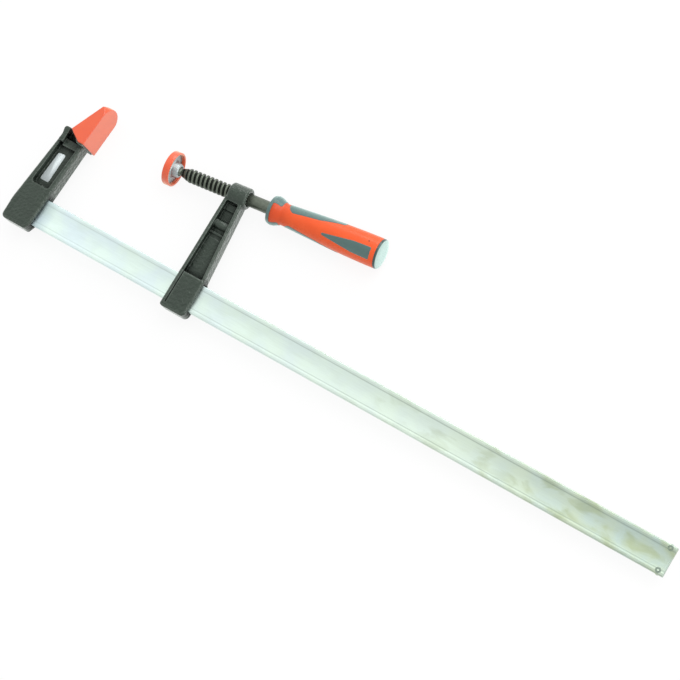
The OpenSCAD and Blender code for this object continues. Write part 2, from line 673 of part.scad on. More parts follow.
// A lobe of the collar, from a little before the ring's back
module lobe(i, before) intersection() {
    grip_skin(collar_k - before / handle_len, (lobe_reach + over) / handle_len);
    radial(front_turn + 180 * i) lobe_shape();
}
module grip_collar() color(teal) {
    difference() {
        turned() grip_solid(soft_proud, 0, collar_k);
        on_screw() rotate([0, 90, 0]) cylinder(d = shank_d, h = 2 * tail_s);
    }
    for (i = [0:1]) lobe(i, 10 * eps);
}
module grip_inlay_front_1() color(teal) front_soft(0);
module grip_inlay_front_2() color(teal) front_soft(1);
module grip_inlay_rear_1() color(teal) rear_soft(0);
module grip_inlay_rear_2() color(teal) rear_soft(1);

// The rear cap ends in a low dome
module grip_end_cap() color(teal) turned() polygon(concat(
    [[0, cap_front], [grip_r(end_k) + soft_proud, cap_front]],
    [for (i = [8:-1:0]) [handle_end_d / 2 * i / 8, tail_s - end_dome * pow(i / 8, 2)]]));

module handle_core() color(orange) difference() {
    turned() grip_solid(0, collar_k, end_k);
    on_screw() rotate([0, 90, 0]) cylinder(d = shank_d, h = handle_s + shank_in);
    for (i = [0:1]) {
        front_soft(i);
        rear_soft(i);
        lobe(i, over);
    }
}

rail();
fixed_jaw();
jaw_cap();
sliding_arm();
ball_end();
pad_plate();
pad_cap();
spindle();
handle_core();
grip_collar();
grip_inlay_front_1();
grip_inlay_front_2();
grip_inlay_rear_1();
grip_inlay_rear_2();
grip_end_cap();
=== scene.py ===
# A bar clamp with a sliding arm, put together from the rail outwards: rail, fixed jaw and its
# cap, sliding arm, screw, swivelling pad, handle, and last the floor, light and camera.
import bpy, bmesh, math
import numpy as np
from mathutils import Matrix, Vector


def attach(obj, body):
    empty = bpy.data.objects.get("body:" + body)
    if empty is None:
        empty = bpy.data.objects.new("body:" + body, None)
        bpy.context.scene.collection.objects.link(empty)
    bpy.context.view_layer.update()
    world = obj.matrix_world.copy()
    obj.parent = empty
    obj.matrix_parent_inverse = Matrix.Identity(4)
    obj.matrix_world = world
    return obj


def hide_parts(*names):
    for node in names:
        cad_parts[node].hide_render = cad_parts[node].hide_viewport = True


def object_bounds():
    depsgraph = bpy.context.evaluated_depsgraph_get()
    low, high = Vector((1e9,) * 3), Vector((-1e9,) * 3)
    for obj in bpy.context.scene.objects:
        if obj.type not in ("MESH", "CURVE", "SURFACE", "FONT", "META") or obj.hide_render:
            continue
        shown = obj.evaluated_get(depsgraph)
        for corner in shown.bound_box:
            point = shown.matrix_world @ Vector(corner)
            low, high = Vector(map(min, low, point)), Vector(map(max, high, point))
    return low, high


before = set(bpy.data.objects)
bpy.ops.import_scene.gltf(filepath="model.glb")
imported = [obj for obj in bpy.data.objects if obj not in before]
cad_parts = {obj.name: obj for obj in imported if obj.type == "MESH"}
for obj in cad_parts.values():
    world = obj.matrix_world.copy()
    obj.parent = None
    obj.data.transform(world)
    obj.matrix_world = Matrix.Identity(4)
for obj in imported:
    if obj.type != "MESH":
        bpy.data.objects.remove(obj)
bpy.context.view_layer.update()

# ---------------------------------------------------------------------------------------------
# Rail: cold-drawn steel strip with a shallow groove rolled in each side, barrel-plated in
# bright zinc with a faint blue-green passivation. It keeps the strip's drawing lines.
# ---------------------------------------------------------------------------------------------
MM = 0.001
RAIL_DROP = 86.72  # the rail's middle lies this far below the middle of the jaws' faces
GROOVE_HALF = 8.5  # from the rail's middle to the groove's corners
MARK_X, MARK_OFF, MARK_R, MARK_LINE = 593.1, 9.6, 1.6, 0.7  # the rings punched at the free end


def linear(code):
    """An sRGB hex colour as linear RGBA."""
    parts = [int(code[i:i + 2], 16) / 255 for i in (1, 3, 5)]
    return [c / 12.92 if c <= 0.04045 else ((c + 0.055) / 1.055) ** 2.4 for c in parts] + [1.0]


def add(tree, kind, settings=(), links=()):
    """Adds a node; settings are its properties or socket values, links feed its sockets."""
    made = tree.nodes.new(kind)
    for key, value in dict(settings).items():
        if isinstance(key, str) and hasattr(made, key):
            setattr(made, key, value)
        else:
            made.inputs[key].default_value = value
    for key, source in dict(links).items():
        tree.links.new(source, made.inputs[key])
    return made


def finish(name, colour, metallic, roughness, **sockets):
    """A material with one Principled shader; gives the material, its tree, shader and place."""
    made = bpy.data.materials.new(name)
    made.use_nodes = True
    made.diffuse_color = linear(colour)
    tree = made.node_tree
    shader = tree.nodes["Principled BSDF"]
    shader.inputs["Base Color"].default_value = linear(colour)
    shader.inputs["Metallic"].default_value = metallic
    shader.inputs["Roughness"].default_value = roughness
    for key, value in sockets.items():
        shader.inputs[key.replace("_", " ")].default_value = value
    place = add(tree, "ShaderNodeTexCoord").outputs["Object"]
    return made, tree, shader, place


def two_tone(tree, factor, low, high):
    """A colour that runs from low to high with a factor."""
    return add(tree, "ShaderNodeMix", {"data_type": "RGBA", 6: linear(low), 7: linear(high)},
               {0: factor}).outputs[2]


# bright zinc: a satin skin whose passivation drifts from bluish at the jaw to a dull green at
# the free end, with drawing lines, cloudy patches, yellow stains and painted shade in the corners
zinc, tree, shader, place = finish("bright_zinc_plate", "#D9E8E0", 1.0, 0.44)
on_rail = add(tree, "ShaderNodeMapping", {"Location": (0, RAIL_DROP * MM, 0)},
              {"Vector": place}).outputs[0]
spot = add(tree, "ShaderNodeSeparateXYZ", (), {0: on_rail}).outputs
drift = add(tree, "ShaderNodeMapRange", {"From Min": -0.02, "From Max": 0.6},
            {"Value": spot["X"]}).outputs[0]
clouds = add(tree, "ShaderNodeTexNoise", {"Scale": 1 / (24 * MM), "Detail": 4.0},
             {"Vector": place}).outputs["Fac"]
cloudy = add(tree, "ShaderNodeMapRange", {"From Min": 0.38, "From Max": 0.6},
             {"Value": clouds}).outputs[0]
fresh = add(tree, "ShaderNodeMix", {"data_type": "RGBA", 7: linear("#CEDCC8")},
            {0: drift, 6: two_tone(tree, cloudy, "#E6F7FB", "#EAFCF6")}).outputs[2]
far = add(tree, "ShaderNodeMapRange", {"From Min": 0.39, "From Max": 0.58},
          {"Value": spot["X"]}).outputs[0]
passivated = add(tree, "ShaderNodeMix", {"data_type": "RGBA"},
                 {0: far, 6: fresh, 7: two_tone(tree, cloudy, "#B5C8C2", "#B9C7B0")}).outputs[2]
along = add(tree, "ShaderNodeMapping", {"Scale": (0.03, 1.0, 1.0)}, {"Vector": place}).outputs[0]
lines = add(tree, "ShaderNodeTexNoise", {"Scale": 1 / (0.5 * MM), "Detail": 3.0},
            {"Vector": along}).outputs["Fac"]
streak = add(tree, "ShaderNodeMapRange", {"From Min": 0.3, "From Max": 0.7, "To Min": 0.94},
             {"Value": lines}).outputs[0]
streaked = add(tree, "ShaderNodeMix", {"data_type": "RGBA", "blend_type": "MULTIPLY", 0: 1.0},
               {6: passivated, 7: streak}).outputs[2]
drawn = add(tree, "ShaderNodeMapping", {"Scale": (0.4, 1.0, 1.0)}, {"Vector": place}).outputs[0]
blotch = add(tree, "ShaderNodeTexNoise", {"Scale": 1 / (9 * MM), "Detail": 3.0, "Distortion": 0.6},
             {"Vector": drawn}).outputs["Fac"]
patch = add(tree, "ShaderNodeMapRange", {"From Min": 0.48, "From Max": 0.66, "To Max": 0.55},
            {"Value": blotch}).outputs[0]
aged = add(tree, "ShaderNodeMapRange", {"From Min": 0.3, "From Max": 0.5, "To Min": 0.12},
           {"Value": spot["X"]}).outputs[0]
stain = add(tree, "ShaderNodeMath", {"operation": "MULTIPLY"}, {0: patch, 1: aged}).outputs[0]
stained = add(tree, "ShaderNodeMix", {"data_type": "RGBA", 7: linear("#A0AD86")},
              {0: stain, 6: streaked}).outputs[2]
# painted shade along the groove's corners, stronger toward the free end, and in the punched rings
off = add(tree, "ShaderNodeMath", {"operation": "ABSOLUTE"}, {0: spot["Y"]}).outputs[0]
corner = add(tree, "ShaderNodeMath", {"operation": "SUBTRACT", 1: GROOVE_HALF * MM}, {0: off}).outputs[0]
gap = add(tree, "ShaderNodeMath", {"operation": "ABSOLUTE"}, {0: corner}).outputs[0]
painted_groove_shade = add(tree, "ShaderNodeMapRange", {"interpolation_type": "SMOOTHSTEP", "From Max": 0.8 * MM,
           "To Min": 0.42, "To Max": 0.0}, {"Value": gap}).outputs[0]
groove_shade_toward_end = add(tree, "ShaderNodeMapRange", {"From Max": 0.4, "To Min": 0.4},
           {"Value": spot["X"]}).outputs[0]
painted_groove_shade = add(tree, "ShaderNodeMath", {"operation": "MULTIPLY"}, {0: painted_groove_shade, 1: groove_shade_toward_end}).outputs[0]
folded = add(tree, "ShaderNodeCombineXYZ", (), {"X": spot["X"], "Y": off})
ring = add(tree, "ShaderNodeVectorMath", {"operation": "DISTANCE",
           1: (MARK_X * MM, MARK_OFF * MM, 0)}, {0: folded.outputs[0]}).outputs["Value"]
punch = add(tree, "ShaderNodeMath", {"operation": "COMPARE", 1: MARK_R * MM, 2: MARK_LINE * MM},
            {0: ring}).outputs[0]
painted_ring_shade = add(tree, "ShaderNodeMath", {"operation": "MULTIPLY", 1: 0.7}, {0: punch}).outputs[0]
grime_and_painted_shade = add(tree, "ShaderNodeMath", {"operation": "MAXIMUM"}, {0: painted_groove_shade, 1: painted_ring_shade}).outputs[0]
# painted shade next to the jaw: its shadow and dark reflection on the zinc, in bluish grey
painted_jaw_shade = add(tree, "ShaderNodeMapRange", {"From Min": -7 * MM, "From Max": 6 * MM, "To Min": 0.42,
           "To Max": 0.0}, {"Value": spot["X"]}).outputs[0]
zinc_with_painted_shade = add(tree, "ShaderNodeMix", {"data_type": "RGBA", 7: linear("#7D95A8")},
             {0: painted_jaw_shade, 6: stained}).outputs[2]
shade = add(tree, "ShaderNodeMix", {"data_type": "RGBA", 7: linear("#6E7F76")},
            {0: grime_and_painted_shade, 6: zinc_with_painted_shade}).outputs[2]
tree.links.new(shade, shader.inputs["Base Color"])
rough = add(tree, "ShaderNodeMapRange", {"To Min": 0.36, "To Max": 0.52}, {"Value": clouds})
tree.links.new(rough.outputs[0], shader.inputs["Roughness"])
bump = add(tree, "ShaderNodeBump", {"Strength": 0.25, "Distance": 0.02 * MM}, {"Height": lines})
tree.links.new(bump.outputs[0], shader.inputs["Normal"])

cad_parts["rail"].data.materials.clear()
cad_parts["rail"].data.materials.append(zinc)

# ---------------------------------------------------------------------------------------------
# Fixed jaw: malleable iron, sand-cast with drafted hollow sides, blackened and oiled, then
# pressed on the rail's end. Sand leaves a fine grain; handling bares the edges a little, and
# a painted highlight lies on them too.
# ---------------------------------------------------------------------------------------------
CAST_GRAIN, CAST_PASSES = 0.42 * MM, 5
# half the thickness and the outline of the gusset between the jaw's arm, its knob and its head
GUSSET = (3.4, (-22.5, -19.8), (-10.1, -19.8), (-10.1, -18.7), (-12.9, -15.5), (-16.6, -13.1),
          (-18.4, -13.5), (-22.5, -15.7))
LABEL_CORNERS, LABEL_ROUND = ((-24.8, -61.2), (-16.2, -61.2), (-15.3, -33.7), (-22.4, -34.3)), 1.6
WEB_TOP, LABEL_THICK = 2.9, 0.4
SLOT_WIDE, SLOT_HIGH = 12.5, 3.0  # half the width and height of the slot for the rail


def solid(name, mesh, material, body, slot, *nodes):
    """Puts a finished mesh in the scene on its body, in place of the CAD nodes named."""
    piece = bpy.data.objects.new(name, mesh)
    bpy.context.scene.collection.objects.link(piece)
    mesh.materials.clear()
    mesh.materials.append(material)
    mesh.shade_smooth()
    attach(piece, body)
    if nodes:
        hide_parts(*nodes)
    return piece


def baked(maker):
    """The mesh that an object's modifiers give; the object itself is thrown away."""
    bpy.context.view_layer.update()
    made = maker.evaluated_get(bpy.context.evaluated_depsgraph_get())
    mesh = bpy.data.meshes.new_from_object(made)
    old = maker.data
    bpy.data.objects.remove(maker)
    if old.users == 0:
        bpy.data.meshes.remove(old)
    return mesh


def moulded(node, grain, passes, *ribs):
    """A copy of a node's skin with every edge and inner corner rounded as casting leaves it,
    and with small ribs cast on, each given as half its thickness and its outline in mm."""
    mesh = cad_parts[node].data.copy()
    shell = bmesh.new()
    shell.from_mesh(mesh)
    bmesh.ops.remove_doubles(shell, verts=shell.verts, dist=0.001 * MM)
    for half, *outline in ribs:
        under, over = [[shell.verts.new((x * MM, y * MM, z * MM)) for x, y in outline]
                       for z in (-half, half)]
        faces = [shell.faces.new(under), shell.faces.new(over[::-1])]
        for i in range(len(outline)):
            faces.append(shell.faces.new((under[i - 1], under[i], over[i], over[i - 1])))
        bmesh.ops.recalc_face_normals(shell, faces=faces)
    shell.to_mesh(mesh)
    shell.free()
    maker = bpy.data.objects.new(node + "_blank", mesh)
    bpy.context.scene.collection.objects.link(maker)
    skin = maker.modifiers.new("skin", "REMESH")
    skin.mode, skin.voxel_size, skin.use_smooth_shade = "VOXEL", grain, True
    soft = maker.modifiers.new("soft", "SMOOTH")
    soft.factor, soft.iterations = 0.5, passes
    return baked(maker)


def mark_edges(mesh, gain, rounds=3):
    """Stores on each point how far it stands out from its neighbours, 0 to 1, as "edge"."""
    count = len(mesh.vertices)
    points = np.empty(count * 3)
    mesh.vertices.foreach_get("co", points)
    normals = np.empty(count * 3)
    mesh.vertex_normals.foreach_get("vector", normals)
    pairs = np.empty(len(mesh.edges) * 2, dtype=int)
    mesh.edges.foreach_get("vertices", pairs)
    points, normals, pairs = points.reshape(-1, 3), normals.reshape(-1, 3), pairs.reshape(-1, 2)
    degree = np.bincount(pairs.ravel(), minlength=count)[:, None]

    def around(values):
        total = np.zeros_like(values)
        np.add.at(total, pairs[:, 0], values[pairs[:, 1]])
        np.add.at(total, pairs[:, 1], values[pairs[:, 0]])
        return total / np.maximum(degree, 1)

    out = (normals * (points - around(points))).sum(axis=1, keepdims=True) * gain
    for _ in range(rounds):
        out = 0.5 * out + 0.5 * around(out)
    layer = mesh.attributes.new("edge", "FLOAT", "POINT")
    layer.data.foreach_set("value", np.clip(out[:, 0], 0, 1))


# blackened malleable iron: a dark sandy oxide skin under a film of oil, which mirrors the
# floor where it is seen aslant; painted shade darkens its hollows, and its edges are paler,
# partly from wear and partly a painted highlight
iron, tree, shader, place = finish("blackened_malleable_iron", "#263029", 0.0, 0.4, IOR=1.3,
                                   Coat_Roughness=0.16, Sheen_Roughness=0.35,
                                   Sheen_Tint=linear("#E4F2E6"), Specular_Tint=linear("#C8F0D0"))
sand = add(tree, "ShaderNodeTexNoise", {"Scale": 1 / (0.9 * MM), "Detail": 5.0,
           "Roughness": 0.65}, {"Vector": place}).outputs["Fac"]
patches = add(tree, "ShaderNodeTexNoise", {"Scale": 1 / (9 * MM), "Detail": 3.0},
              {"Vector": place}).outputs["Fac"]
dark = two_tone(tree, patches, "#19241C", "#28352B")
# pale edges: partly worn, partly a painted highlight on the rounded edges
rubbed = add(tree, "ShaderNodeAttribute", {"attribute_name": "edge"}).outputs["Fac"]
pale_edge_wear_and_highlight = add(tree, "ShaderNodeMath", {"operation": "MULTIPLY"}, {0: rubbed, 1: patches}).outputs[0]
shade = add(tree, "ShaderNodeMix", {"data_type": "RGBA", 7: linear("#8A948B")},
            {0: pale_edge_wear_and_highlight, 6: dark}).outputs[2]
# painted shade: ambient occlusion darkens the hollows nearly to black
open_air = add(tree, "ShaderNodeAmbientOcclusion", {"samples": 8, "only_local": True,
               "Distance": 10 * MM}).outputs["AO"]
unshaded = add(tree, "ShaderNodeMapRange", {"From Min": 0.55, "From Max": 0.98},
            {"Value": open_air}).outputs[0]
# painted shadow lies round the slot's mouth and thins out over a few millimetres
centred = add(tree, "ShaderNodeMapping", {"Location": (0, RAIL_DROP * MM, 0)},
              {"Vector": place}).outputs[0]
folded = add(tree, "ShaderNodeVectorMath", {"operation": "ABSOLUTE"}, {0: centred}).outputs[0]
from_rail = add(tree, "ShaderNodeSeparateXYZ", (), {0: folded}).outputs
beside = add(tree, "ShaderNodeMapRange", {"From Min": SLOT_WIDE * MM, "From Max": 19 * MM},
             {"Value": from_rail["Y"]}).outputs[0]
above = add(tree, "ShaderNodeMapRange", {"From Min": SLOT_HIGH * MM, "From Max": 6.8 * MM},
            {"Value": from_rail["Z"]}).outputs[0]
clear_of_slot_shade = add(tree, "ShaderNodeMath", {"operation": "MAXIMUM"}, {0: beside, 1: above}).outputs[0]
bright = add(tree, "ShaderNodeMath", {"operation": "MULTIPLY"}, {0: clear_of_slot_shade, 1: unshaded}).outputs[0]
iron_with_painted_shade = add(tree, "ShaderNodeMix", {"data_type": "RGBA", 6: linear("#0B0D0C")},
            {0: bright, 7: shade}).outputs[2]
tree.links.new(iron_with_painted_shade, shader.inputs["Base Color"])
# painted shade also dims the coat, sheen and specular in the hollows and round the slot
for socket, least, most in (("Coat Weight", 0.06, 1.0), ("Sheen Weight", 0.0, 0.6),
                            ("Specular IOR Level", 0.1, 0.5)):
    gloss_out_of_shade = add(tree, "ShaderNodeMapRange", {"To Min": least, "To Max": most}, {"Value": bright})
    tree.links.new(gloss_out_of_shade.outputs[0], shader.inputs[socket])
rough = add(tree, "ShaderNodeMapRange", {"To Min": 0.3, "To Max": 0.5}, {"Value": sand})
tree.links.new(rough.outputs[0], shader.inputs["Roughness"])
pits = add(tree, "ShaderNodeTexNoise", {"Scale": 1 / (2.6 * MM), "Detail": 2.0}, {"Vector": place})
uneven = add(tree, "ShaderNodeBump", {"Strength": 1.0, "Distance": 0.9 * MM},
             {"Height": pits.outputs["Fac"]}).outputs[0]
bump = add(tree, "ShaderNodeBump", {"Strength": 0.5, "Distance": 0.1 * MM},
           {"Height": sand, "Normal": uneven})
tree.links.new(bump.outputs[0], shader.inputs["Normal"])
tree.links.new(uneven, shader.inputs["Coat Normal"])

jaw = moulded("fixed_jaw", CAST_GRAIN, CAST_PASSES, GUSSET)
mark_edges(jaw, 1 / (0.1 * MM))
solid("fixed_jaw_casting", jaw, iron, "rail", "black_iron", "fixed_jaw")

# a thin bare aluminium plate with rounded corners, stuck on the web in the hollow
label = bpy.data.meshes.new("label_plate")
shell = bmesh.new()
corners = [Vector(c) for c in LABEL_CORNERS]
outline = []
for before, at, after in zip(corners[-1:] + corners, corners, corners[1:] + corners[:1]):
    start = at + (before - at).normalized() * LABEL_ROUND
    end = at + (after - at).normalized() * LABEL_ROUND
    outline += [start * (1 - t) ** 2 + at * 2 * t * (1 - t) + end * t ** 2 for t in np.linspace(0, 1, 7)]
sheet = shell.faces.new([shell.verts.new((c.x * MM, c.y * MM, WEB_TOP * MM)) for c in outline])
raised = bmesh.ops.extrude_face_region(shell, geom=[sheet])["geom"]
lifted = [v for v in raised if isinstance(v, bmesh.types.BMVert)]
bmesh.ops.translate(shell, verts=lifted, vec=(0, 0, LABEL_THICK * MM))
bmesh.ops.recalc_face_normals(shell, faces=shell.faces)
shell.to_mesh(label)
shell.free()
# satin aluminium, brushed along its length
alloy, tree, shader, place = finish("satin_aluminium_label", "#DCE7E8", 0.1, 0.5)
lengthwise = add(tree, "ShaderNodeMapping", {"Scale": (1.0, 0.08, 1.0)}, {"Vector": place}).outputs[0]
brushed = add(tree, "ShaderNodeTexNoise", {"Scale": 1 / (0.6 * MM), "Detail": 2.0},
              {"Vector": lengthwise}).outputs["Fac"]
tree.links.new(two_tone(tree, brushed, "#D3DFE1", "#E4EDED"), shader.inputs["Base Color"])
solid("jaw_label_plate", label, alloy, "rail", None)

# ---------------------------------------------------------------------------------------------
# Jaw cap: soft red PVC, injection-moulded and pushed over the jaw's wedge-shaped head, so
# the work isn't marked. Its edges are softly rounded and its skin is fine-grained, half gloss.
# ---------------------------------------------------------------------------------------------
CAP_GRAIN, CAP_PASSES = 0.4 * MM, 4

pvc, tree, shader, place = finish("soft_red_pvc", "#D9522E", 0.0, 0.36, IOR=1.45, Coat_Weight=1.0,
                                  Coat_Roughness=0.12, Coat_IOR=1.52, Sheen_Roughness=0.35,
                                  Sheen_Tint=linear("#FFDDA6"))
skin = add(tree, "ShaderNodeTexNoise", {"Scale": 1 / (0.7 * MM), "Detail": 3.0},
           {"Vector": place}).outputs["Fac"]
blush = add(tree, "ShaderNodeTexNoise", {"Scale": 1 / (14 * MM), "Detail": 2.0},
            {"Vector": place}).outputs["Fac"]
tree.links.new(two_tone(tree, blush, "#D5481C", "#E25722"), shader.inputs["Base Color"])
bump = add(tree, "ShaderNodeBump", {"Strength": 0.2, "Distance": 0.05 * MM}, {"Height": skin})
tree.links.new(bump.outputs[0], shader.inputs["Normal"])
# a pale bloom lies on its faces and is rubbed off its edges
ridge = add(tree, "ShaderNodeAttribute", {"attribute_name": "edge"}).outputs["Fac"]
bloom = add(tree, "ShaderNodeMapRange", {"To Min": 0.9, "To Max": 0.0}, {"Value": ridge})
tree.links.new(bloom.outputs[0], shader.inputs["Sheen Weight"])

cap = moulded("jaw_cap", CAP_GRAIN, CAP_PASSES)
mark_edges(cap, 1 / (0.03 * MM), rounds=12)
solid("jaw_cap_moulding", cap, pvc, "rail", "red_plastic", "jaw_cap")

# ---------------------------------------------------------------------------------------------
# Sliding arm: the same blackened iron, an I-section with a cross rib, a slotted shoe on the
# rail and a boss for the screw, bored and threaded after casting.
# ---------------------------------------------------------------------------------------------
ARM_X, FLANGE, SHOE_HALF = 129.87, 2.6, 6.7
GROOVE_X, GROOVE_Y = (ARM_X + 3.1, ARM_X + 4.4), (-101.5, -70.5)


def step(half, low, high, wide):
    """A low rib across the hollow between two heights, so wide in mm, inside the flanges."""
    left, right = ARM_X + FLANGE, ARM_X + wide
    return half, (left, low), (right, low), (right, high), (left, high)


def worked(mesh, deep, toe):
    """Rounds the shoe's toe to a radius in mm, and sinks a groove so deep into each of its faces."""
    count = len(mesh.vertices)
    points = np.empty(count * 3)
    mesh.vertices.foreach_get("co", points)
    points = points.reshape(-1, 3) / MM
    (left, right), (low, high) = GROOVE_X, GROOVE_Y
    across, along, up = points.T
    near = np.minimum(np.minimum(across - left, right - across), np.minimum(along - low, high - along))
    face = np.clip((np.abs(up) - SHOE_HALF + 1) / 0.6, 0, 1)
    points[:, 2] -= np.sign(up) * face * deep * np.clip(near / 0.4, 0, 1)
    middle = np.array((ARM_X + toe, along.min() + toe))
    off = points[:, :2] - middle
    reach = np.hypot(off[:, 0], off[:, 1])
    corner = (off[:, 0] < 0) & (off[:, 1] < 0) & (reach > toe)
    points[corner, :2] = middle + off[corner] * (toe / reach[corner])[:, None]
    mesh.vertices.foreach_set("co", (points * MM).ravel())
    mesh.update()


arm = moulded("sliding_arm", CAST_GRAIN, CAST_PASSES, step(half=2.5, low=-32.2, high=-29.9, wide=18.4),
              step(half=2.6, low=-9.7, high=-3.6, wide=15.8))
worked(arm, deep=0.9, toe=3.2)
mark_edges(arm, 1 / (0.1 * MM))
solid("sliding_arm_casting", arm, iron, "arm", "black_iron", "sliding_arm")

# ---------------------------------------------------------------------------------------------
# Screw: steel rod, phosphated and oiled. The thread is rolled, with rounded roots and a
# bare tapered tip; the shank behind it is plain and runs into the handle.
# ---------------------------------------------------------------------------------------------
LEAN = math.radians(5.3)
to_handle = Vector((math.cos(LEAN), math.sin(LEAN), 0))
across = Vector((-math.sin(LEAN), math.cos(LEAN), 0))
upward = Vector((0, 0, 1))
PAD_X, PAD_REACH = 71.6, 67.96  # the pad's face, and from there to the middle of the arm's boss
BOSS_HALF, THREAD_OUT, TIP_LEN = 8.8, 39.2, 8.0
THREAD_SHORT = 3.0  # the thread ends this far inside the boss
boss = Vector((PAD_X, 0, 0)) * MM + to_handle * PAD_REACH * MM
tip_s = -BOSS_HALF - THREAD_OUT - TIP_LEN
SCREW_R, ROOT_R, SHANK_R, TIP_R, LEAD = 6.0, 4.45, 5.4, 3.3, 4.0
SHANK_FROM, SHANK_MID, SHANK_TO = 4, 50, 90


def on_screw(s, r, angle):
    """A point s mm along the screw from the boss's middle, r mm out, at an angle from +Z."""
    return boss + to_handle * s * MM + (upward * math.cos(angle) - across * math.sin(angle)) * r * MM


def turned(profile, around=96):
    """A closed solid of revolution about the screw from points (s, r) in mm."""
    mesh, shell = bpy.data.meshes.new("turned"), bmesh.new()
    rings = []
    for s, r in profile:
        if r < 1e-6:
            rings.append([shell.verts.new(on_screw(s, 0, 0))])
        else:
            rings.append([shell.verts.new(on_screw(s, r, math.tau * i / around))
                          for i in range(around)])
    for a, b in zip(rings, rings[1:]):
        for i in range(around):
            j = (i + 1) % around
            ends = ([a[0]] if len(a) == 1 else [a[i], a[j]]) + ([b[0]] if len(b) == 1 else [b[j], b[i]])
            if len(ends) > 2:
                shell.faces.new(ends)
    bmesh.ops.recalc_face_normals(shell, faces=shell.faces)
    shell.to_mesh(mesh)
    shell.free()
    return mesh


def eased(profile, radius, steps=4):
    """Rounds each corner of a profile of (s, r) points; the first and last stay."""
    out = [profile[0]]
    for p, q, n in zip(profile, profile[1:], profile[2:]):
        a, b, c = Vector(p), Vector(q), Vector(n)
        run = min(radius, (a - b).length * 0.45, (c - b).length * 0.45)
        start, end = b + (a - b).normalized() * run, b + (c - b).normalized() * run
        for i in range(steps + 1):
            t = i / steps
            point = start * (1 - t) ** 2 + b * 2 * t * (1 - t) + end * t ** 2
            out.append((point.x, max(point.y, 0.0)))
    return out + [profile[-1]]


# oiled phosphate on steel: dark greenish grey, half gloss, with fine marks round it, and
# painted shade, nearly black, in the thread's roots
steel, tree, shader, place = finish("oiled_phosphated_steel", "#666C62", 0.8, 0.34)
grime_and_painted_shade = add(tree, "ShaderNodeTexNoise", {"Scale": 1 / (2.5 * MM), "Detail": 4.0},
            {"Vector": place}).outputs["Fac"]
rubbed = two_tone(tree, grime_and_painted_shade, "#575E54", "#7A8275")
sunk = add(tree, "ShaderNodeAttribute", {"attribute_name": "sunk"}).outputs["Fac"]
# painted shade: the thread's roots go nearly black
painted_root_shade = add(tree, "ShaderNodeMix", {"data_type": "RGBA", 7: linear("#0F1310")},
              {0: sunk, 6: rubbed}).outputs[2]
tree.links.new(painted_root_shade, shader.inputs["Base Color"])
round_it = add(tree, "ShaderNodeMapping", {"Scale": (1.0, 0.06, 0.06)}, {"Vector": place}).outputs[0]
turning = add(tree, "ShaderNodeTexNoise", {"Scale": 1 / (0.35 * MM), "Detail": 2.0},
              {"Vector": round_it}).outputs["Fac"]
rough = add(tree, "ShaderNodeMapRange", {"To Min": 0.28, "To Max": 0.46}, {"Value": turning})
tree.links.new(rough.outputs[0], shader.inputs["Roughness"])
bump = add(tree, "ShaderNodeBump", {"Strength": 0.2, "Distance": 0.03 * MM}, {"Height": turning})
tree.links.new(bump.outputs[0], shader.inputs["Normal"])


